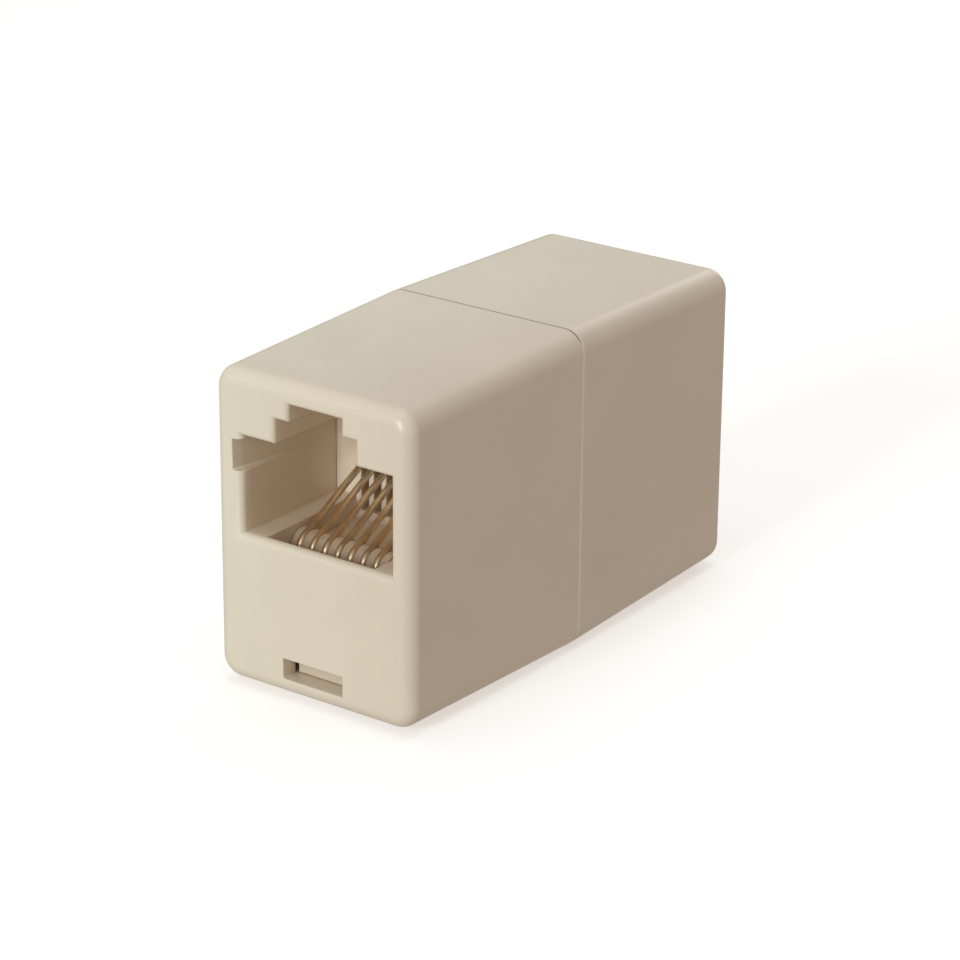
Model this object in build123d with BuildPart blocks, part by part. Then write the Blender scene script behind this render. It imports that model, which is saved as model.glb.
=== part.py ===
"""Inline coupler that joins two eight-way modular patch leads end to end.

Two like shells meet at a seam in the middle. The rear one is the front one turned over about the
X axis, so its jack is latch down, and eight straight wires join pin 1 to pin 1. A moulded carrier
between the shells holds the wires, whose bent ends are the spring contacts of both jacks.

Millimetres. +Z is up, -Y is the front jack's side, and the origin is the middle of the footprint.
Heights are taken from the lower edge of the front end face, and depths from that face inwards.
"""
import os
from math import cos, radians, sin, tan

from build123d import *

os.makedirs("parts", exist_ok=True)

# Outside of the body
body_length = 36.1
jamb_wall = 1.9
side_draft = 0.25
flat_draft = 0.4
long_edge_radius = 1.54
rim_radius = 1.05
seam_break = 0.1
end_wall = 1.3
bottom_wall = 1.15
top_wall = 1.48

# Jack mouth, set to one side to leave wall beside its key slot
jack_middle = 0.3
plug_width = 11.68
plug_height = 6.5
plug_gap = 0.06
sill_height = 10.35
shoulder_width = 6.44
shoulder_rise = 1.68
notch_width = 4.2
notch_rise = 1.17
latch_depth = 6.1
latch_wall = 1.3
pocket_step = 0.4
roof_thickness = 1.25
key_width = 0.7
key_drop = 0.35
key_height = 2.13
key_length = 5.6
mouth_radius = 0.5
latch_radius = 0.35
comb_depth = 9.65

# Floor ledges and the runners under them
ledge_width = 1.6
ledge_thickness = 1.55
runner_width = 1.0
runner_thickness = 1.1

# Snap tongue, its catch and the window over it
window_width = 4.8
window_height = 1.42
tongue_gap = 0.2
tongue_thickness = 1.2
tongue_root = 4.6
hook_length = 1.6
catch_height = 0.55
catch_top = 0.4
catch_ramp = 1.3
snap_gap = 0.05

# Contact wires
wire_count = 8
wire_pitch = 1.02
wire_diameter = 0.45
wire_sides = 6
bend_radius = 1.1
bend_depth = 4.0
bend_drop = 1.6
spring_angle = 27.4
wire_end_reach = 1.05
cross_bend_radius = 2.5

# Contact carrier
fit_gap = 0.05
groove_gap = 0.02
comb_thickness = 1.5
comb_slot_width = 0.62
comb_slot_margin = 0.6
rib_proud = 0.12
cheek_thickness = 1.1
cheek_height = 12.7
cross_slot_overlap = 1.0
cross_gap = 0.1

# Worked out from the values above
half_length = body_length / 2
body_middle = 0
cavity_width = plug_width + 2 * plug_gap
cavity_height = plug_height + 2 * plug_gap
roof_height = sill_height + cavity_height
shoulder_height = roof_height + shoulder_rise
notch_height = shoulder_height + notch_rise
face_width = cavity_width + 2 * jamb_wall
face_height = notch_height + top_wall
seam_width = face_width + 2 * side_draft
seam_height = face_height + 2 * flat_draft
mid_height = face_height / 2
pocket_top = notch_height
pocket_width = cavity_width + 2 * pocket_step
wire_radius = wire_diameter / 2
wire_places = [(index - (wire_count - 1) / 2) * wire_pitch for index in range(wire_count)]
field_width = cavity_width - 2 * ledge_width
nose_width = field_width - 2 * fit_gap
bend_height = sill_height - bend_drop
core_radius = bend_radius - wire_radius - groove_gap
rib_radius = bend_radius + rib_proud
run_height = bend_height - bend_radius
groove_width = wire_diameter + 2 * groove_gap
groove_top = run_height + wire_radius + groove_gap
deck_bottom = bend_height - rib_radius
deck_top = sill_height - ledge_thickness - fit_gap
comb_back = comb_depth + comb_thickness
wire_end_depth = comb_depth + wire_end_reach
tongue_width = window_width - 2 * tongue_gap
tongue_low = bottom_wall + catch_height + snap_gap
tongue_top = tongue_low + tongue_thickness
slope = tan(radians(spring_angle))
spring_start = (
    bend_depth - bend_radius * sin(radians(spring_angle)),
    bend_height + bend_radius * cos(radians(spring_angle)),
)


def at_depth(depth, middle=jack_middle):
    """A plane across the body, with X across from a middle and heights up."""
    return Plane(origin=(middle, depth - half_length, flat_draft), x_dir=(1, 0, 0), z_dir=(0, -1, 0))


def side_on(place, middle=jack_middle):
    """A plane along the body, at a place from a middle, with depths along and heights up."""
    return Plane(origin=(middle + place, -half_length, flat_draft), x_dir=(0, 1, 0), z_dir=(1, 0, 0))


def level(height, middle=jack_middle):
    """A level plane, with X across from a middle and depths along."""
    return Plane(origin=(middle, -half_length, flat_draft + height), x_dir=(1, 0, 0), z_dir=(0, 0, 1))


def mouth_edges(shell, low, high):
    """Edges of the jack's opening in the end face whose middles lie between two heights."""
    opening = shell.faces().sort_by(Axis.Y)[0].inner_wires()[0]
    return opening.edges().filter_by(lambda edge: low < edge.center().Z - flat_draft < high)


def turned(depth, height):
    """The same point in the half that is turned over."""
    return body_length - depth, face_height - height


def spring_height(depth):
    """Height of a contact wire's sprung run at a depth."""
    return spring_start[1] + (depth - spring_start[0]) * slope


def cross_height(depth):
    """Height of the straight line on which the wires cross from one deck to the other."""
    rise = (face_height - 2 * run_height) / (body_length - 2 * comb_back)
    return mid_height + (depth - half_length) * rise


# The whole rear half is the front half turned over about the middle of the body.
turned_over = Location((0, 0, 2 * (flat_draft + mid_height)), (180, 0, 0))

with BuildPart() as front_shell:
    # Outside: the side view drawn across the body, cut to the plan, both drafted towards the end
    with BuildSketch(side_on(0, body_middle)):
        Polygon(
            (0, 0),
            (half_length, -flat_draft),
            (half_length, face_height + flat_draft),
            (0, face_height),
            align=None,
        )
    extrude(amount=seam_width / 2, both=True)
    with BuildSketch(level(mid_height, body_middle)):
        Polygon(
            (-face_width / 2, 0),
            (face_width / 2, 0),
            (seam_width / 2, half_length),
            (-seam_width / 2, half_length),
            align=None,
        )
    extrude(amount=seam_height / 2, both=True, mode=Mode.INTERSECT)
    fillet(front_shell.edges().filter_by(lambda edge: abs((edge % 0).Y) > 0.9), long_edge_radius)
    fillet(front_shell.faces().sort_by(Axis.Y)[0].edges(), rim_radius)
    chamfer(front_shell.faces().sort_by(Axis.Y)[-1].edges(), seam_break)

    # Plug cavity
    with BuildSketch(at_depth(0)):
        with Locations((0, sill_height)):
            Rectangle(cavity_width, cavity_height, align=(Align.CENTER, Align.MIN))
    extrude(amount=-comb_depth, mode=Mode.SUBTRACT)

    # Hollow behind the end wall, under the cavity
    with BuildSketch(at_depth(end_wall)):
        with Locations((0, bottom_wall)):
            Rectangle(cavity_width, roof_height - bottom_wall, align=(Align.CENTER, Align.MIN))
    extrude(amount=end_wall - comb_depth, mode=Mode.SUBTRACT)

    # Latch channel, in two steps
    with BuildSketch(at_depth(0)):
        with Locations((0, sill_height)):
            Rectangle(shoulder_width, shoulder_height - sill_height, align=(Align.CENTER, Align.MIN))
            Rectangle(
                notch_width, notch_height - sill_height, align=(Align.CENTER, Align.MIN)
            )
    extrude(amount=-latch_depth, mode=Mode.SUBTRACT)

    # Rounded mouth: the sill and jambs, then the roof and the latch channel
    fillet(mouth_edges(front_shell, 0, roof_height - fit_gap), mouth_radius)
    fillet(mouth_edges(front_shell, roof_height - fit_gap, face_height), latch_radius)

    # Key slot near the latch side of one jamb, running out along its length
    with BuildSketch(level(roof_height - key_drop)):
        with BuildLine():
            Polyline(
                (-cavity_width / 2, 0),
                (-cavity_width / 2 - key_width, 0),
                (-cavity_width / 2, key_length),
                close=True,
            )
        make_face()
    extrude(amount=-key_height, mode=Mode.SUBTRACT)

    # Hollow behind the jack, open at the seam
    with BuildSketch(at_depth(comb_depth)):
        with Locations((0, bottom_wall)):
            Rectangle(pocket_width, pocket_top - bottom_wall, align=(Align.CENTER, Align.MIN))
    extrude(amount=comb_depth - half_length, mode=Mode.SUBTRACT)

    # Core over the jack's roof, behind the latch channel
    with BuildSketch(at_depth(latch_depth + latch_wall)):
        with Locations((0, roof_height + roof_thickness)):
            Rectangle(
                shoulder_width,
                pocket_top - roof_height - roof_thickness,
                align=(Align.CENTER, Align.MIN),
            )
    extrude(amount=latch_depth + latch_wall - comb_depth, mode=Mode.SUBTRACT)

    # Floor ledges beside the contacts, and the runners that carry the deck
    for side in (-1, 1):
        with BuildSketch(at_depth(end_wall)):
            with Locations((side * (cavity_width - ledge_width) / 2, sill_height)):
                Rectangle(ledge_width, ledge_thickness, align=(Align.CENTER, Align.MAX))
            with Locations((side * (cavity_width - runner_width) / 2, deck_bottom - fit_gap)):
                Rectangle(runner_width, runner_thickness, align=(Align.CENTER, Align.MAX))
        extrude(amount=end_wall - comb_depth)

    # Window in the end wall
    with BuildSketch(at_depth(0, body_middle)):
        with Locations((0, bottom_wall)):
            Rectangle(window_width, window_height, align=(Align.CENTER, Align.MIN))
    extrude(amount=-end_wall, mode=Mode.SUBTRACT)

    # Catch on the bottom wall for the other shell's tongue
    catch_depth = end_wall + 2 * snap_gap + hook_length
    with BuildSketch(side_on(0, body_middle)):
        with BuildLine():
            Polyline(
                (catch_depth, 0.5 * bottom_wall),
                (catch_depth, bottom_wall + catch_height),
                (catch_depth + catch_top, bottom_wall + catch_height),
                (catch_depth + catch_top + catch_ramp, bottom_wall),
                (catch_depth + catch_top + catch_ramp, 0.5 * bottom_wall),
                close=True,
            )
        make_face()
    extrude(amount=tongue_width / 2, both=True)

    # Snap tongue under the top wall, which reaches through the other half to its window
    tip_depth = end_wall + snap_gap
    with BuildSketch(side_on(0, body_middle)):
        with BuildLine():
            Polyline(
                turned(tip_depth, bottom_wall + snap_gap),
                turned(tip_depth + hook_length, bottom_wall + snap_gap),
                turned(tip_depth + hook_length, tongue_low),
                turned(half_length + snap_gap, tongue_low),
                (half_length - snap_gap, pocket_top + 0.5 * top_wall),
                (half_length - tongue_root, pocket_top + 0.5 * top_wall),
                turned(half_length + tongue_root, tongue_top),
                turned(tip_depth, tongue_top),
                close=True,
            )
        make_face()
    extrude(amount=tongue_width / 2, both=True)
front_shell.part.label = "front_shell"
export_step(front_shell.part, "parts/front_shell.step")

with BuildPart() as rear_shell:
    with Locations(turned_over):
        add(front_shell.part)
rear_shell.part.label = "rear_shell"
export_step(rear_shell.part, "parts/rear_shell.step")


def groove_profile():
    """Side view of the space round one wire at the nose and under the deck."""
    with Locations(((bend_depth - rib_radius + comb_back) / 2, bend_height)):
        Rectangle(comb_back - bend_depth + 2 * rib_radius, 2 * rib_radius + fit_gap)
    groove_end = comb_back + rib_radius
    under_spring = (wire_radius + groove_gap) / cos(radians(spring_angle))
    Polygon(
        (bend_depth, groove_top),
        (groove_end, groove_top),
        (groove_end, spring_height(groove_end) - under_spring),
        (
            bend_depth - core_radius * sin(radians(spring_angle)),
            bend_height + core_radius * cos(radians(spring_angle)),
        ),
        align=None,
        mode=Mode.SUBTRACT,
    )
    with Locations((bend_depth, bend_height)):
        Circle(core_radius, mode=Mode.SUBTRACT)


with BuildPart() as carrier_half:
    # Nose round which the wires bend, between the floor ledges
    with BuildSketch(side_on(0)):
        with Locations((bend_depth, bend_height)):
            Circle(rib_radius)
    extrude(amount=nose_width / 2, both=True)

    # Deck that runs back from the nose under the ledges
    with BuildSketch(side_on(0)):
        with Locations((bend_depth, deck_bottom)):
            Rectangle(comb_back - bend_depth, deck_top - deck_bottom, align=(Align.MIN, Align.MIN))
    extrude(amount=cavity_width / 2 - fit_gap, both=True)

    # Comb wall that closes the jack, with two legs
    with BuildSketch(at_depth(comb_depth + fit_gap)):
        with Locations((0, bottom_wall + fit_gap)):
            Rectangle(
                pocket_width - 2 * fit_gap,
                pocket_top - bottom_wall - 2 * fit_gap,
                align=(Align.CENTER, Align.MIN),
            )
            Rectangle(
                field_width,
                deck_bottom - bottom_wall - fit_gap,
                align=(Align.CENTER, Align.MIN),
                mode=Mode.SUBTRACT,
            )
    extrude(amount=fit_gap - comb_thickness)

    # Grooves round the nose and slots in the comb, one for each wire
    comb_slot_low = deck_top + comb_slot_margin
    comb_slot_high = spring_height(wire_end_depth) + comb_slot_margin
    for place in wire_places:
        with BuildSketch(side_on(place)):
            groove_profile()
        extrude(amount=groove_width / 2, both=True, mode=Mode.SUBTRACT)
        with BuildSketch(at_depth(comb_depth)):
            with Locations((place, comb_slot_low)):
                Rectangle(
                    comb_slot_width, comb_slot_high - comb_slot_low, align=(Align.CENTER, Align.MIN)
                )
        extrude(amount=-comb_thickness, mode=Mode.SUBTRACT)

with BuildPart() as contact_carrier:
    add(carrier_half.part)
    with Locations(turned_over):
        add(carrier_half.part)

    # Web that slants from one deck to the other
    with BuildSketch(side_on(0)):
        with BuildLine():
            Polyline(
                (comb_back, deck_bottom),
                (comb_back, deck_top),
                turned(comb_back, deck_bottom),
                turned(comb_back, deck_top),
                close=True,
            )
        make_face()
    extrude(amount=cavity_width / 2 - fit_gap, both=True)

    # Cheeks that join the two combs and line the shells up across the seam
    for side in (-1, 1):
        with BuildSketch(side_on(side * (pocket_width / 2 - fit_gap))):
            with Locations((half_length, mid_height)):
                Rectangle(body_length - 2 * comb_back, cheek_height)
        extrude(amount=-side * cheek_thickness)

    # Slots in the web: each wire passes from its underside to its upper side
    for place in wire_places:
        with BuildSketch(side_on(place)):
            near = comb_back - cross_slot_overlap
            far = half_length + cross_slot_overlap
            wire_space = wire_radius + cross_gap
            slot_outline = [
                (near, run_height + wire_space),
                (comb_back, run_height + wire_space),
                (far, cross_height(far) + wire_space),
                (far, deck_bottom - wire_space),
                (near, deck_bottom - wire_space),
            ]
            Polygon(*slot_outline, align=None)
            Polygon(*[turned(*point) for point in slot_outline], align=None)
        extrude(amount=groove_width / 2, both=True, mode=Mode.SUBTRACT)
contact_carrier.part.label = "contact_carrier"
export_step(contact_carrier.part, "parts/contact_carrier.step")

for number, place in enumerate(wire_places, start=1):
    with BuildPart() as contact_wire:
        with BuildLine(side_on(place)) as route:
            front_spring = Line((wire_end_depth, spring_height(wire_end_depth)), spring_start)
            front_bend = ThreePointArc(
                spring_start, (bend_depth - bend_radius, bend_height), (bend_depth, run_height)
            )
            crossing = FilletPolyline(
                (bend_depth, run_height),
                (comb_back, run_height),
                turned(comb_back, run_height),
                turned(bend_depth, run_height),
                radius=cross_bend_radius,
            )
            rear_bend = ThreePointArc(
                turned(bend_depth, run_height),
                turned(bend_depth - bend_radius, bend_height),
                turned(*spring_start),
            )
            rear_spring = Line(
                turned(*spring_start), turned(wire_end_depth, spring_height(wire_end_depth))
            )
        with BuildSketch(Plane(origin=front_spring @ 0, z_dir=front_spring % 0)):
            RegularPolygon(wire_radius, side_count=wire_sides)
        sweep(path=route.wires()[0])
    contact_wire.part.label = f"contact_wire_{number}"
    export_step(contact_wire.part, f"parts/contact_wire_{number}.step")
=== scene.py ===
"""Looks of the inline coupler: ivory housing halves, the carrier inside them and gold contact wires."""
from collections import namedtuple
from math import atan2, cos, hypot, pi, radians, sin, tan

import bmesh
import bpy
from bpy.props import FloatProperty, FloatVectorProperty, IntProperty, PointerProperty
from mathutils import Matrix, Vector


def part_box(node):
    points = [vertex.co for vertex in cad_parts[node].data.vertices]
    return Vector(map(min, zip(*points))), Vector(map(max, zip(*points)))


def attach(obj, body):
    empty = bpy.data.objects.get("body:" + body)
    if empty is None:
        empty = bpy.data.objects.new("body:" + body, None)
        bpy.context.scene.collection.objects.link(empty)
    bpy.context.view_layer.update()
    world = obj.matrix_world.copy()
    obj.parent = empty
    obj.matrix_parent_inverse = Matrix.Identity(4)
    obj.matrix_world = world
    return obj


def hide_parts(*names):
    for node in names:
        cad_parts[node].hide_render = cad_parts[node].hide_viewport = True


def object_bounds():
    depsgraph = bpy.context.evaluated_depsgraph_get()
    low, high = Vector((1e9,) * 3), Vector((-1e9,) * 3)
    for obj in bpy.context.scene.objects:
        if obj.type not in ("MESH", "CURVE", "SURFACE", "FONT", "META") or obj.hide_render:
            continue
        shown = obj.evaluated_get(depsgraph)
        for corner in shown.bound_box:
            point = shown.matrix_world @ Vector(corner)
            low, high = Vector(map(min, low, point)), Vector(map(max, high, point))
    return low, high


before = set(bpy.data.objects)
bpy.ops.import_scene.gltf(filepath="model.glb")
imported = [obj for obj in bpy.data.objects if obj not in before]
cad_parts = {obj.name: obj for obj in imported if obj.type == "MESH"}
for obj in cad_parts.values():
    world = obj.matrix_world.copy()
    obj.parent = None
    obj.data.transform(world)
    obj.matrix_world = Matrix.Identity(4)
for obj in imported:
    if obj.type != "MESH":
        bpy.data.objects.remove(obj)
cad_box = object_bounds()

bl_info = {
    "name": "Inline coupler looks",
    "version": (1, 0, 0),
    "blender": (4, 5, 0),
    "location": "3D View > Sidebar > Coupler",
    "description": "Finishes the packed coupler: moulded housing, carrier, contact wires and stage",
    "category": "Object",
}

# The end faces lie this far from the seam, which is at Y 0
END_FACE = cad_box[1][1]
MIDDLE = (Vector(cad_box[0]) + Vector(cad_box[1])) / 2

# Meshes, in metres and radians
WELD = 1e-6
FLAT_ANGLE = radians(0.2)
SHARP_ANGLE = radians(24)
EASE_ANGLE = radians(40)
EASE_SEGMENTS = 2
FLAT_WEIGHT = 100
BEND_STEP = radians(9)
WIRE_COUNT = 8

# How the long inner edge of a sill is told from the other edges
END_WALL = 0.0013
END_WALL_TOLERANCE = 0.00005
LIP_LENGTH = 0.007
LIP_HEIGHT = 0.0005
LEVEL_NORMAL = 0.9

# Where the masks on the housing begin and are whole. A depth is taken inwards from an end face,
# a level up or down from the middle, and a reach sideways or along from the middle
FADE_REACH = (-0.0080, 0.0080)
TOP_AND_BOTTOM_LEVEL = (0.0100, 0.0108)
INSIDE_DEPTH = (0.0006, 0.0012)
INSIDE_LEVEL = (0.0095, 0.0096)
INSIDE_REACH = (0.0065, 0.0067)
WINDOW_TOP = (0.0058, 0.0061)
WINDOW_FLOOR = (0.0094, 0.0095)
WINDOW_REACH = (0.0040, 0.0042)
WINDOW_SHADE = (0.0081, 0.0093)
NOSE_REACH = (0.0122, 0.0130)

# The groove's limits, as shares of the seam's width
GROOVE = (0.3, 0.6)

# How much of the windows' painted shade lies at a window's top and on its floor
WINDOW_TOP_DARKNESS = 1.6
WINDOW_FLOOR_DARKNESS = 0.4

# Where two noise patterns begin and are whole
CLOUD = (0.3, 0.7)
TARNISH = (0.42, 0.72)

# What the ivory and the cream moulding share
PLASTIC_IOR = 1.47
PLASTIC_BLEED = (1.0, 0.75, 0.45)

# A Mix node has sockets of one name for numbers, vectors and colours. These are the colours' own
FIRST_COLOR = 6
SECOND_COLOR = 7
MIXED_COLOR = 2

SoftLight = namedtuple("SoftLight", "place size color")
LIGHTS = {
    "key": SoftLight(place=(0.0, -0.44, 0.13), size=(0.11, 0.24), color=(0.865, 0.975, 1.0)),
    "top": SoftLight(place=(0.0, 0.04, 0.45), size=(0.40, 0.40), color=(0.818, 0.957, 1.0)),
    "back": SoftLight(place=(-0.07, 0.42, 0.20), size=(0.20, 0.16), color=(0.93, 0.97, 1.0)),
    "sheen": SoftLight(place=(-0.28, 0.39, 0.175), size=(0.25, 0.03), color=(0.80, 0.92, 1.0)),
}
LIGHT_AIM = Vector((0.0, 0.0, 0.011))

# The camera stands where the photograph's did. Its tilt is from straight down
CAMERA_PLACE = (0.12446, -0.17139, 0.09307)
CAMERA_YAW = radians(36.014)
CAMERA_TILT = radians(90 - 21.393)
CAMERA_ROLL = radians(0.465)
CAMERA_LENS_MM = 128.43
CAMERA_SENSOR_MM = 36.0
CAMERA_CLIP = (0.01, 10.0)


class Socket:
    """An output socket in a material's node tree. Arithmetic on it adds Math nodes."""

    def __init__(self, finish, socket):
        self.finish = finish
        self.socket = socket

    def math(self, operation, *values):
        return self.finish.node("ShaderNodeMath", {"operation": operation}, dict(enumerate(values)))

    def __add__(self, other):
        return self.math("ADD", self, other)

    def __radd__(self, other):
        return self.math("ADD", other, self)

    def __sub__(self, other):
        return self.math("SUBTRACT", self, other)

    def __rsub__(self, other):
        return self.math("SUBTRACT", other, self)

    def __mul__(self, other):
        return self.math("MULTIPLY", self, other)

    def __rmul__(self, other):
        return self.math("MULTIPLY", other, self)

    def size(self):
        """The value without its sign."""
        return self.math("ABSOLUTE", self)

    def side(self):
        """1 where the value is positive and -1 where it is negative."""
        return self.math("SIGN", self)

    def above(self, low, high):
        """0 below low and 1 above high, with a smooth step from one to the other."""
        limits = {"Value": self, "From Min": low, "From Max": high}
        return self.finish.node("ShaderNodeMapRange", {"interpolation_type": "SMOOTHSTEP"}, limits)

    def below(self, low, high):
        """1 below low and 0 above high, with a smooth step from one to the other."""
        return 1.0 - self.above(low, high)


class Finish:
    """A procedural material, built node by node."""

    def __init__(self, name):
        self.material = bpy.data.materials.new(name)
        self.material.use_nodes = True
        self.tree = self.material.node_tree
        self.tree.nodes.clear()

    def node(self, kind, settings, inputs, output=0):
        """Adds a node, sets it up, then sets or links its sockets, and returns an output."""
        node = self.tree.nodes.new(kind)
        for name, value in settings.items():
            setattr(node, name, value)
        for name, value in inputs.items():
            if isinstance(value, Socket):
                self.tree.links.new(value.socket, node.inputs[name])
            else:
                node.inputs[name].default_value = value
        return Socket(self, node.outputs[output])

    def place(self):
        """Object coordinates, which are metres in the frame."""
        return self.node("ShaderNodeTexCoord", {}, {}, output="Object")

    def scaled(self, factors):
        """Object coordinates stretched by a factor along each axis."""
        return self.node("ShaderNodeMapping", {}, {"Vector": self.place(), "Scale": factors})

    def axis(self, name):
        """One of the object coordinates: X, Y or Z."""
        return self.node("ShaderNodeSeparateXYZ", {}, {"Vector": self.place()}, output=name)

    def noise(self, vector, scale, detail=2.0, roughness=0.5):
        """A cloudy pattern between 0 and 1."""
        inputs = {"Vector": vector, "Scale": scale, "Detail": detail, "Roughness": roughness}
        return self.node("ShaderNodeTexNoise", {}, inputs)

    def blend(self, factor, first, second):
        """A colour between two colours."""
        inputs = {"Factor": factor, FIRST_COLOR: first, SECOND_COLOR: second}
        return self.node("ShaderNodeMix", {"data_type": "RGBA"}, inputs, output=MIXED_COLOR)

    def brightened(self, color, factor):
        """A colour made lighter or darker by a factor that changes over the surface."""
        return self.node("ShaderNodeHueSaturation", {}, {"Color": color, "Value": factor})

    def bump(self, height, distance, strength=1.0, under=None):
        """A normal that follows a height map, laid over another normal where one is given."""
        inputs = {"Height": height, "Strength": strength, "Distance": distance}
        if under is not None:
            inputs["Normal"] = under
        return self.node("ShaderNodeBump", {}, inputs, output="Normal")

    def surface(self, **inputs):
        """Ends the material with one Principled shader. Underscores stand for spaces."""
        named = {name.replace("_", " "): value for name, value in inputs.items()}
        shader = self.node("ShaderNodeBsdfPrincipled", {}, named)
        output = self.tree.nodes.new("ShaderNodeOutputMaterial")
        self.tree.links.new(shader.socket, output.inputs["Surface"])
        return self.material


def shade(color, factor=1.0):
    """A colour made lighter or darker, as four numbers."""
    return tuple(min(1.0, part * factor) for part in color[:3]) + (1.0,)


def varied(value, pattern, spread):
    """A value that a pattern moves by up to one spread, down where it is 0 and up where it is 1."""
    return value - spread + 2 * spread * pattern


class HousingSettings(bpy.types.PropertyGroup):
    """Shape and finish of the two moulded halves."""

    ivory: FloatVectorProperty(
        name="Ivory", description="Colour of the moulded halves", subtype="COLOR", size=3,
        default=(0.835, 0.755, 0.61), min=0, max=1,
    )
    # Painted shade: the darker colour that the ivory fades into towards +X
    shade_side_ivory: FloatVectorProperty(
        name="Shade side ivory", description="Colour that the ivory fades into towards +X",
        subtype="COLOR", size=3, default=(0.78, 0.675, 0.545), min=0, max=1,
    )
    # Painted shade: a darker, warmer ivory for the walls inside the jacks, where shade falls
    inner: FloatVectorProperty(
        name="Inner ivory", description="Colour of the walls inside the jacks", subtype="COLOR", size=3,
        default=(0.79, 0.665, 0.515), min=0, max=1,
    )
    mottle: FloatProperty(
        name="Mottling", description="How much the ivory varies over a face", subtype="FACTOR",
        default=0.02, min=0, max=1,
    )
    roughness: FloatProperty(
        name="Roughness", description="Roughness of the moulding under its gloss", subtype="FACTOR",
        default=0.40, min=0, max=1,
    )
    coat: FloatProperty(
        name="Gloss", description="Weight of the glossy skin on the moulding", subtype="FACTOR",
        default=0.30, min=0, max=1,
    )
    coat_roughness: FloatProperty(
        name="Gloss roughness", description="Roughness of the glossy skin", subtype="FACTOR",
        default=0.20, min=0, max=1,
    )
    ripple_height: FloatProperty(
        name="Ripple height", description="Height of the slow waves that moulding leaves in a wall",
        subtype="DISTANCE", unit="LENGTH", default=0.00002, min=0, max=0.001, precision=6,
    )
    grain_height: FloatProperty(
        name="Grain height", description="Height of the fine mould grain",
        subtype="DISTANCE", unit="LENGTH", default=0.0000022, min=0, max=0.0001, precision=7,
    )
    edge_radius: FloatProperty(
        name="Edge radius", description="Radius that moulding leaves on the sharp edges",
        subtype="DISTANCE", unit="LENGTH", default=0.00006, min=0, max=0.0001, precision=5,
    )
    lip_chamfer: FloatProperty(
        name="Lip chamfer", description="Chamfer on the inner edge of a sill, over the wires",
        subtype="DISTANCE", unit="LENGTH", default=0.00074, min=0, max=0.00078, precision=5,
    )
    seam_width: FloatProperty(
        name="Seam width", description="Width of the groove where the halves meet",
        subtype="DISTANCE", unit="LENGTH", default=0.00016, min=0, max=0.001, precision=5,
    )
    # Painted shade: how dark the seam groove is painted along the top and bottom
    seam_shade: FloatProperty(
        name="Seam shade", description="How dark the groove has become along the top and bottom",
        subtype="FACTOR", default=0.85, min=0, max=1,
    )
    # Painted highlight: how much paler the shaded groove is painted along the sides
    seam_highlight: FloatProperty(
        name="Seam highlight", description="How much paler than the ivory the groove is along the sides",
        default=1.4, min=1, max=2,
    )
    # Painted shade: how dark the little windows are painted inside
    window_painted_shade: FloatProperty(
        name="Window shade", description="How dark the little windows are inside", subtype="FACTOR",
        default=0.45, min=0, max=1,
    )


class CarrierSettings(bpy.types.PropertyGroup):
    """Finish of the insert that carries the wires."""

    cream: FloatVectorProperty(
        name="Cream", description="Colour of the insert", subtype="COLOR", size=3,
        default=(0.94, 0.775, 0.61), min=0, max=1,
    )
    # Painted shade: a darker, warmer colour laid on the insert's two noses
    shaded: FloatVectorProperty(
        name="Shaded", description="Colour of the insert's two noses, which plugs have rubbed",
        subtype="COLOR", size=3, default=(0.46, 0.33, 0.22), min=0, max=1,
    )
    nose_shade: FloatProperty(
        name="Nose shade", description="How far the two noses have taken the worn colour",
        subtype="FACTOR", default=0.65, min=0, max=1,
    )
    roughness: FloatProperty(
        name="Roughness", description="Roughness of the insert", subtype="FACTOR",
        default=0.48, min=0, max=1,
    )
    grain_height: FloatProperty(
        name="Grain height", description="Height of the fine mould grain",
        subtype="DISTANCE", unit="LENGTH", default=0.000002, min=0, max=0.0001, precision=7,
    )


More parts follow.
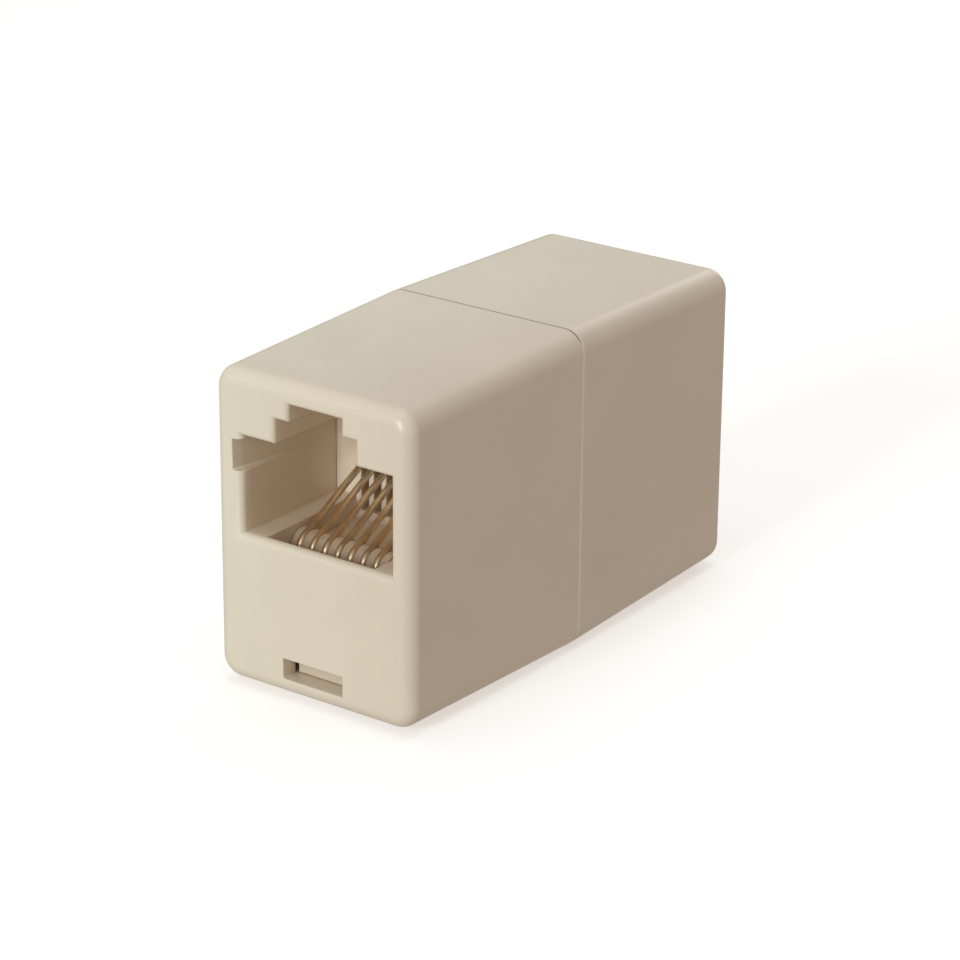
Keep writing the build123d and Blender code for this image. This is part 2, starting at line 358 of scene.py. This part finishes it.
class WireSettings(bpy.types.PropertyGroup):
    """Shape and finish of the eight contact wires."""

    diameter: FloatProperty(
        name="Diameter", description="Diameter of a contact wire", subtype="DISTANCE", unit="LENGTH",
        default=0.00045, min=0.0001, max=0.001, precision=5,
    )
    sides: IntProperty(
        name="Sides", description="Sides of a wire's section", default=20, min=8, max=48,
    )
    bend_radius: FloatProperty(
        name="Bend radius", description="Radius of a wire's middle line round the carrier's nose",
        subtype="DISTANCE", unit="LENGTH", default=0.0011, min=0.0003, max=0.003, precision=5,
    )
    bend_depth: FloatProperty(
        name="Bend depth", description="Depth of the bend's centre behind the end face",
        subtype="DISTANCE", unit="LENGTH", default=0.0040, min=0.002, max=0.008, precision=5,
    )
    bend_height: FloatProperty(
        name="Bend height", description="Height of the front bend's centre above the footprint",
        subtype="DISTANCE", unit="LENGTH", default=0.00915, min=0.004, max=0.015, precision=5,
    )
    spring_angle: FloatProperty(
        name="Spring angle", description="Rise of a wire's sprung run", subtype="ANGLE", unit="ROTATION",
        default=radians(27.4), min=0, max=radians(60),
    )
    spring_depth: FloatProperty(
        name="Spring depth", description="Depth of a wire's free end behind the end face",
        subtype="DISTANCE", unit="LENGTH", default=0.0107, min=0.006, max=0.015, precision=5,
    )
    crossing_depth: FloatProperty(
        name="Crossing depth", description="Depth at which a wire leaves its deck to cross over",
        subtype="DISTANCE", unit="LENGTH", default=0.01115, min=0.006, max=0.016, precision=5,
    )
    crossing_radius: FloatProperty(
        name="Crossing radius", description="Radius of the two gentle bends of the crossing",
        subtype="DISTANCE", unit="LENGTH", default=0.0025, min=0.0005, max=0.01, precision=5,
    )
    gold: FloatVectorProperty(
        name="Gold", description="Colour of the plating", subtype="COLOR", size=3,
        default=(0.88, 0.70, 0.49), min=0, max=1,
    )
    tarnish: FloatProperty(
        name="Tarnish", description="How far the tarnished patches have darkened", subtype="FACTOR",
        default=0.7, min=0, max=1,
    )
    roughness: FloatProperty(
        name="Roughness", description="Roughness of the plating", subtype="FACTOR",
        default=0.32, min=0, max=1,
    )
    mark_height: FloatProperty(
        name="Mark height", description="Height of the marks that drawing leaves along a wire",
        subtype="DISTANCE", unit="LENGTH", default=0.0000025, min=0, max=0.0001, precision=7,
    )


class StageSettings(bpy.types.PropertyGroup):
    """Floor, light and camera."""

    floor_size: FloatProperty(
        name="Floor size", description="Length of each side of the floor",
        subtype="DISTANCE", unit="LENGTH", default=3.0, min=0.5, max=10,
    )
    floor_white: FloatVectorProperty(
        name="Floor white", description="Colour of the floor", subtype="COLOR", size=3,
        default=(0.90, 0.90, 0.90), min=0, max=1,
    )
    floor_roughness: FloatProperty(
        name="Floor roughness", description="Roughness of the floor", subtype="FACTOR",
        default=0.875, min=0, max=1,
    )
    floor_glow: FloatProperty(
        name="Floor glow", description="Light that the floor gives off itself",
        default=0.40, min=0, max=4,
    )
    key_power: FloatProperty(
        name="Key light", description="Power of the large soft light before the jack", unit="POWER",
        default=1.02, min=0, max=100,
    )
    top_power: FloatProperty(
        name="Top light", description="Power of the soft light overhead", unit="POWER",
        default=0.446, min=0, max=100,
    )
    back_power: FloatProperty(
        name="Back light", description="Power of the soft light behind the rear jack", unit="POWER",
        default=0.25, min=0, max=100,
    )
    sheen_power: FloatProperty(
        name="Sheen light", description="Power of the low card that the rear half's top mirrors",
        unit="POWER", default=0.042, min=0, max=10,
    )
    fill: FloatVectorProperty(
        name="Fill", description="Even light from all round", subtype="COLOR", size=3,
        default=(0.436, 0.390, 0.354), min=0, max=1,
    )


def ivory_finish(settings):
    """Glossy ivory moulding, with slow waves, fine grain, painted shade in the seam and windows and a
    painted highlight along the side seam.
    """
    finish = Finish("ivory_moulding")
    place = finish.place()
    across, along, up = (finish.axis(name) for name in "XYZ")
    level = up - MIDDLE.z
    cloud = finish.noise(place, scale=160.0, detail=3.0, roughness=0.55)
    waves = finish.noise(finish.scaled((1.0, 0.55, 1.0)), scale=95.0, detail=1.0, roughness=0.4)
    grain = finish.noise(place, scale=5200.0, roughness=0.6)

    # Painted shade: the ivory grows darker towards +X
    base = finish.blend(across.above(*FADE_REACH), shade(settings.ivory), shade(settings.shade_side_ivory))
    mottled = finish.brightened(base, varied(1.0, cloud.above(*CLOUD), settings.mottle))

    # Painted shade: the walls inside the jacks take the darker inner ivory
    walls = along.size().below(*(END_FACE - depth for depth in reversed(INSIDE_DEPTH)))
    inside = walls * level.size().below(*INSIDE_LEVEL) * across.size().below(*INSIDE_REACH)
    inside_shaded = finish.blend(inside, mottled, shade(settings.inner))

    groove = along.size().below(*(share * settings.seam_width for share in GROOVE))
    top_and_bottom = level.size().above(*TOP_AND_BOTTOM_LEVEL)
    # Painted highlight: the groove along the sides is painted paler than the ivory
    rubbed = finish.blend(groove * (1.0 - top_and_bottom), inside_shaded, shade(settings.ivory, settings.seam_highlight))
    # Painted shade: the seam groove is darkened along the top and bottom
    seam_shade = shade(settings.ivory, 0.3)
    seamed = finish.blend(groove * top_and_bottom * settings.seam_shade, rubbed, seam_shade)

    # The windows are low in the front half and high in the rear half
    window = level * along.side()
    pocket = inside * window.above(*WINDOW_TOP) * window.below(*WINDOW_FLOOR)
    pocket = pocket * across.size().below(*WINDOW_REACH)
    fall = WINDOW_TOP_DARKNESS - WINDOW_FLOOR_DARKNESS
    darkness = WINDOW_TOP_DARKNESS - fall * window.above(*WINDOW_SHADE)
    # Painted shade: the windows darken inside, most at their tops
    window_painted_shade = shade(settings.ivory, 0.45)
    color = finish.blend(pocket * darkness * settings.window_painted_shade, seamed, window_painted_shade)

    return finish.surface(
        Base_Color=color,
        Roughness=varied(settings.roughness, cloud, spread=0.06),
        IOR=PLASTIC_IOR,
        Coat_Weight=settings.coat,
        Coat_Roughness=settings.coat_roughness,
        Subsurface_Weight=0.12,
        Subsurface_Radius=PLASTIC_BLEED,
        Subsurface_Scale=0.0006,
        Normal=finish.bump(
            grain, settings.grain_height, under=finish.bump(waves, settings.ripple_height)
        ),
    )


def carrier_finish(settings):
    """Matt cream moulding of the insert, with painted shade darkening its two noses."""
    finish = Finish("cream_insert")
    place = finish.place()
    cloud = finish.noise(place, scale=420.0, detail=3.0, roughness=0.6)
    grain = finish.noise(place, scale=6500.0, roughness=0.6)
    dark = shade(settings.cream, 0.93)
    pale = shade(settings.cream, 1.05)
    # Painted shade: the two noses are darkened
    nose = finish.axis("Y").size().above(*NOSE_REACH)
    unshaded_cream = finish.blend(cloud.above(*CLOUD), dark, pale)
    return finish.surface(
        Base_Color=finish.blend(nose * settings.nose_shade, unshaded_cream, shade(settings.shaded)),
        Roughness=varied(settings.roughness, cloud, spread=0.05),
        IOR=PLASTIC_IOR,
        Subsurface_Weight=0.25,
        Subsurface_Radius=PLASTIC_BLEED,
        Subsurface_Scale=0.0008,
        Normal=finish.bump(grain, settings.grain_height),
    )


def gold_finish(settings):
    """Thin gold plate, with drawing marks and a darker tarnish in patches."""
    finish = Finish("gold_plate")
    drawn = finish.noise(finish.scaled((9.0, 0.5, 0.5)), scale=2600.0, roughness=0.6)
    patch = finish.noise(finish.place(), scale=900.0)
    tarnished = shade(settings.gold, 0.72)
    tarnish = patch.above(*TARNISH) * settings.tarnish
    return finish.surface(
        Base_Color=finish.blend(tarnish, shade(settings.gold), tarnished),
        Metallic=1.0,
        Roughness=varied(settings.roughness, drawn, spread=0.07),
        Normal=finish.bump(drawn, settings.mark_height, strength=0.6),
    )


def floor_finish(settings):
    """White sweep with a faint paper grain, lit from within."""
    finish = Finish("white_sweep")
    grain = finish.noise(finish.place(), scale=900.0, detail=3.0, roughness=0.6)
    dark = shade(settings.floor_white, 0.99)
    pale = shade(settings.floor_white, 1.01)
    return finish.surface(
        Base_Color=finish.blend(grain, dark, pale),
        Roughness=varied(settings.floor_roughness, 1.0 - grain, spread=0.025),
        Specular_IOR_Level=0.1,
        Emission_Color=(1.0, 1.0, 1.0, 1.0),
        Emission_Strength=settings.floor_glow,
    )


def finished(name, mesh, node, material):
    """Makes an object of a finished mesh, which stands for a node and rides on the coupler."""
    if not mesh.polygons:
        raise RuntimeError(f"{name} came out with no faces")
    piece = bpy.data.objects.new(name, mesh)
    bpy.context.scene.collection.objects.link(piece)
    mesh.materials.clear()
    mesh.materials.append(material)
    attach(piece, "root")
    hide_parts(node)
    return piece


def moulded_copy(node, lip_chamfer=0):
    """A node's mesh with its facets joined, its flats whole and its curves shaded smooth."""
    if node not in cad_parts:
        raise RuntimeError(f"the frame has no node {node}")
    build = bmesh.new()
    build.from_mesh(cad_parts[node].data)
    bmesh.ops.remove_doubles(build, verts=build.verts, dist=WELD)
    bmesh.ops.dissolve_limit(
        build, angle_limit=FLAT_ANGLE, verts=build.verts, edges=build.edges, delimit={"NORMAL"},
    )
    if lip_chamfer:
        chamfer_lip(build, lip_chamfer)
    for face in build.faces:
        face.smooth = True
    for edge in build.edges:
        edge.smooth = len(edge.link_faces) == 2 and edge.calc_face_angle() < SHARP_ANGLE
    mesh = bpy.data.meshes.new(node)
    build.to_mesh(mesh)
    build.free()
    return mesh


def is_sill_lip(edge):
    """Whether an edge is the long one behind the end wall, near mid height."""
    first, last = (vert.co for vert in edge.verts)
    behind = abs(END_FACE - abs(first.y) - END_WALL) < END_WALL_TOLERANCE
    near_middle = abs(first.z - MIDDLE.z) < LIP_HEIGHT
    return behind and near_middle and abs(first.x - last.x) > LIP_LENGTH


def chamfer_lip(build, size):
    """Chamfers the long inner edge of the sill, whose top is first cut from the flats beside it."""
    lips = [edge for edge in build.edges if is_sill_lip(edge)]
    if len(lips) != 1:
        raise RuntimeError(f"expected one lip edge and found {len(lips)}")
    for corner in list(lips[0].verts):
        top = next(face for face in lips[0].link_faces if abs(face.normal.z) > LEVEL_NORMAL)
        bmesh.ops.bisect_plane(
            build, geom=[top, *top.edges, *top.verts], dist=WELD,
            plane_co=corner.co, plane_no=(1, 0, 0),
        )
        build.normal_update()
    bmesh.ops.bevel(
        build, geom=lips, offset=size, offset_type="OFFSET", segments=1, profile=0.5,
        affect="EDGES", material=-1, clamp_overlap=False,
    )


def ease_edges(piece, radius):
    """Rounds the sharp edges a little. The radius stays under the mould's finest steps."""
    eased = piece.modifiers.new("Eased edges", "BEVEL")
    eased.width = radius
    eased.segments = EASE_SEGMENTS
    eased.profile = 0.5
    eased.limit_method = "ANGLE"
    eased.angle_limit = EASE_ANGLE
    eased.use_clamp_overlap = False


def keep_flats(piece):
    """Lets the flats keep their true normals beside the curves."""
    weighted = piece.modifiers.new("Flat faces", "WEIGHTED_NORMAL")
    weighted.mode = "FACE_AREA"
    weighted.weight = FLAT_WEIGHT
    weighted.keep_sharp = True


class Wire:
    """A round wire, drawn on run by run from its free end in a plane across X."""

    def __init__(self, tip, heading, settings):
        self.tip = tip
        self.heading = heading
        self.build = bmesh.new()
        bmesh.ops.create_circle(self.build, segments=settings.sides, radius=settings.diameter / 2)
        stand = Matrix.Translation(tip) @ Matrix.Rotation(heading - pi / 2, 4, "X")
        bmesh.ops.transform(self.build, matrix=stand, verts=self.build.verts)
        self.rim = list(self.build.edges)

    def straight(self, length):
        """Pulls the wire's open end on by a length."""
        step = Vector((0, cos(self.heading), sin(self.heading))) * length
        drawn = bmesh.ops.extrude_edge_only(self.build, edges=self.rim)["geom"]
        points = [part for part in drawn if isinstance(part, bmesh.types.BMVert)]
        bmesh.ops.translate(self.build, vec=step, verts=points)
        self.rim = [part for part in drawn if isinstance(part, bmesh.types.BMEdge)]
        self.tip = self.tip + step

    def bend(self, radius, angle):
        """Turns the wire's open end by an angle, upwards where it is positive."""
        side = 1 if angle > 0 else -1
        centre = self.tip + Vector((0, -sin(self.heading), cos(self.heading))) * radius * side
        points = {vert for edge in self.rim for vert in edge.verts}
        swept = bmesh.ops.spin(
            self.build, geom=[*points, *self.rim], cent=centre, axis=(1, 0, 0), angle=angle,
            steps=max(2, round(abs(angle) / BEND_STEP)), use_merge=False, use_duplicate=False,
        )["geom_last"]
        self.rim = [part for part in swept if isinstance(part, bmesh.types.BMEdge)]
        self.tip = centre + Matrix.Rotation(angle, 3, "X") @ (self.tip - centre)
        self.heading += angle

    def mesh(self, name):
        """Closes both ends, which stay flat, and makes the mesh."""
        bmesh.ops.remove_doubles(self.build, verts=self.build.verts, dist=WELD / 10)
        bmesh.ops.holes_fill(self.build, edges=self.build.edges, sides=0)
        bmesh.ops.recalc_face_normals(self.build, faces=self.build.faces)
        for face in self.build.faces:
            face.smooth = len(face.verts) == 4
        mesh = bpy.data.meshes.new(name)
        self.build.to_mesh(mesh)
        self.build.free()
        return mesh


def wire_mesh(name, middle, settings):
    """One wire, from the front jack's free end round both noses to the rear jack's."""
    angle = settings.spring_angle
    bend = Vector((middle.x, settings.bend_depth - END_FACE, settings.bend_height))
    start = bend + settings.bend_radius * Vector((0, -sin(angle), cos(angle)))
    run = (settings.spring_depth - END_FACE - start.y) / cos(angle)
    free_end = start + run * Vector((0, cos(angle), sin(angle)))

    # The wire leaves its deck at the corner and crosses the middle in one slanted run
    deck = bend + Vector((0, 0, -settings.bend_radius))
    corner = Vector((middle.x, settings.crossing_depth - END_FACE, deck.z))
    across = 2 * (middle.yz - corner.yz)
    turn = atan2(across.y, across.x)
    cut = settings.crossing_radius * tan(turn / 2)

    wire = Wire(free_end, pi + angle, settings)
    wire.straight(run)
    wire.bend(settings.bend_radius, pi - angle)
    wire.straight(corner.y - deck.y - cut)
    wire.bend(settings.crossing_radius, turn)
    wire.straight(hypot(*across) - 2 * cut)
    wire.bend(settings.crossing_radius, -turn)
    wire.straight(corner.y - deck.y - cut)
    wire.bend(settings.bend_radius, angle - pi)
    wire.straight(run)
    return wire.mesh(name)


def soft_light(name, power):
    """One of the named soft lights, turned towards the coupler."""
    light = LIGHTS[name]
    lamp = bpy.data.lights.new(name, "AREA")
    lamp.shape = "RECTANGLE"
    lamp.size, lamp.size_y = light.size
    lamp.energy = power
    lamp.color = light.color
    stand = bpy.data.objects.new(name, lamp)
    facing = (LIGHT_AIM - Vector(light.place)).to_track_quat("-Z", "Y")
    stand.matrix_world = Matrix.Translation(light.place) @ facing.to_matrix().to_4x4()
    bpy.context.scene.collection.objects.link(stand)


class COUPLER_OT_stage(bpy.types.Operator):
    """Set the floor, the soft lights and the camera"""

    bl_idname = "coupler.stage"
    bl_label = "Stage"
    bl_options = {"REGISTER", "UNDO"}

    def add_floor(self, scene, settings):
        build = bmesh.new()
        bmesh.ops.create_grid(build, x_segments=2, y_segments=2, size=settings.floor_size / 2)
        mesh = bpy.data.meshes.new("floor")
        build.to_mesh(mesh)
        build.free()
        mesh.materials.append(floor_finish(settings))
        floor = bpy.data.objects.new("floor", mesh)
        scene.collection.objects.link(floor)
        floor.visible_diffuse = False
        floor.visible_glossy = False

    def add_light(self, scene, settings):
        for name in LIGHTS:
            soft_light(name, getattr(settings, f"{name}_power"))
        world = bpy.data.worlds.new("studio")
        world.use_nodes = True
        world.node_tree.nodes["Background"].inputs["Color"].default_value = shade(settings.fill)
        scene.world = world
        scene.view_settings.view_transform = "Standard"

    def add_camera(self, scene):
        lens = bpy.data.cameras.new("camera")
        lens.sensor_width = CAMERA_SENSOR_MM
        lens.lens = CAMERA_LENS_MM
        lens.clip_start, lens.clip_end = CAMERA_CLIP
        camera = bpy.data.objects.new("camera", lens)
        turn = Matrix.Rotation(CAMERA_YAW, 4, "Z") @ Matrix.Rotation(CAMERA_TILT, 4, "X")
        turn = turn @ Matrix.Rotation(CAMERA_ROLL, 4, "Z")
        camera.matrix_world = Matrix.Translation(CAMERA_PLACE) @ turn
        scene.collection.objects.link(camera)
        scene.camera = camera

    def execute(self, context):
        settings = context.scene.coupler_stage
        self.add_floor(context.scene, settings)
        self.add_light(context.scene, settings)
        self.add_camera(context.scene)
        return {"FINISHED"}


class COUPLER_OT_housing(bpy.types.Operator):
    """Finish the two moulded halves"""

    bl_idname = "coupler.housing"
    bl_label = "Housing halves"
    bl_options = {"REGISTER", "UNDO"}

    def execute(self, context):
        settings = context.scene.coupler_housing
        material = ivory_finish(settings)
        for node, name in (("front_shell", "front_half"), ("rear_shell", "rear_half")):
            mesh = moulded_copy(node, settings.lip_chamfer)
            piece = finished(name, mesh, node, material)
            ease_edges(piece, settings.edge_radius)
            keep_flats(piece)
        return {"FINISHED"}


class COUPLER_OT_carrier(bpy.types.Operator):
    """Finish the moulded insert that holds the wires"""

    bl_idname = "coupler.carrier"
    bl_label = "Contact carrier"
    bl_options = {"REGISTER", "UNDO"}

    def execute(self, context):
        material = carrier_finish(context.scene.coupler_carrier)
        mesh = moulded_copy("contact_carrier")
        keep_flats(finished("carrier", mesh, "contact_carrier", material))
        return {"FINISHED"}


class COUPLER_OT_wires(bpy.types.Operator):
    """Draw the eight round contact wires round the carrier"""

    bl_idname = "coupler.wires"
    bl_label = "Contact wires"
    bl_options = {"REGISTER", "UNDO"}

    def execute(self, context):
        settings = context.scene.coupler_wires
        material = gold_finish(settings)
        for number in range(1, WIRE_COUNT + 1):
            node = f"contact_wire_{number}"
            low, high = (Vector(corner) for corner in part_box(node))
            mesh = wire_mesh(f"wire_{number}", (low + high) / 2, settings)
            finished(f"wire_{number}", mesh, node, material)
        return {"FINISHED"}


# Each step's settings on the scene, their group and the operator that uses them
STEPS = (
    ("coupler_stage", StageSettings, COUPLER_OT_stage),
    ("coupler_housing", HousingSettings, COUPLER_OT_housing),
    ("coupler_carrier", CarrierSettings, COUPLER_OT_carrier),
    ("coupler_wires", WireSettings, COUPLER_OT_wires),
)


class COUPLER_PT_panel(bpy.types.Panel):
    """Sizes, colours and steps of the coupler"""

    bl_idname = "COUPLER_PT_panel"
    bl_label = "Inline coupler"
    bl_space_type = "VIEW_3D"
    bl_region_type = "UI"
    bl_category = "Coupler"

    def draw(self, context):
        for name, group, operator in STEPS:
            box = self.layout.box()
            for setting in group.__annotations__:
                box.prop(getattr(context.scene, name), setting)
            box.operator(operator.bl_idname)


def register():
    for name, group, operator in STEPS:
        bpy.utils.register_class(group)
        bpy.utils.register_class(operator)
        setattr(bpy.types.Scene, name, PointerProperty(type=group))
    bpy.utils.register_class(COUPLER_PT_panel)


def unregister():
    bpy.utils.unregister_class(COUPLER_PT_panel)
    for name, group, operator in reversed(STEPS):
        delattr(bpy.types.Scene, name)
        bpy.utils.unregister_class(operator)
        bpy.utils.unregister_class(group)


def main():
    register()
    bpy.ops.coupler.stage()
    bpy.ops.coupler.housing()
    bpy.ops.coupler.carrier()
    bpy.ops.coupler.wires()


if __name__ == "__main__":
    main()
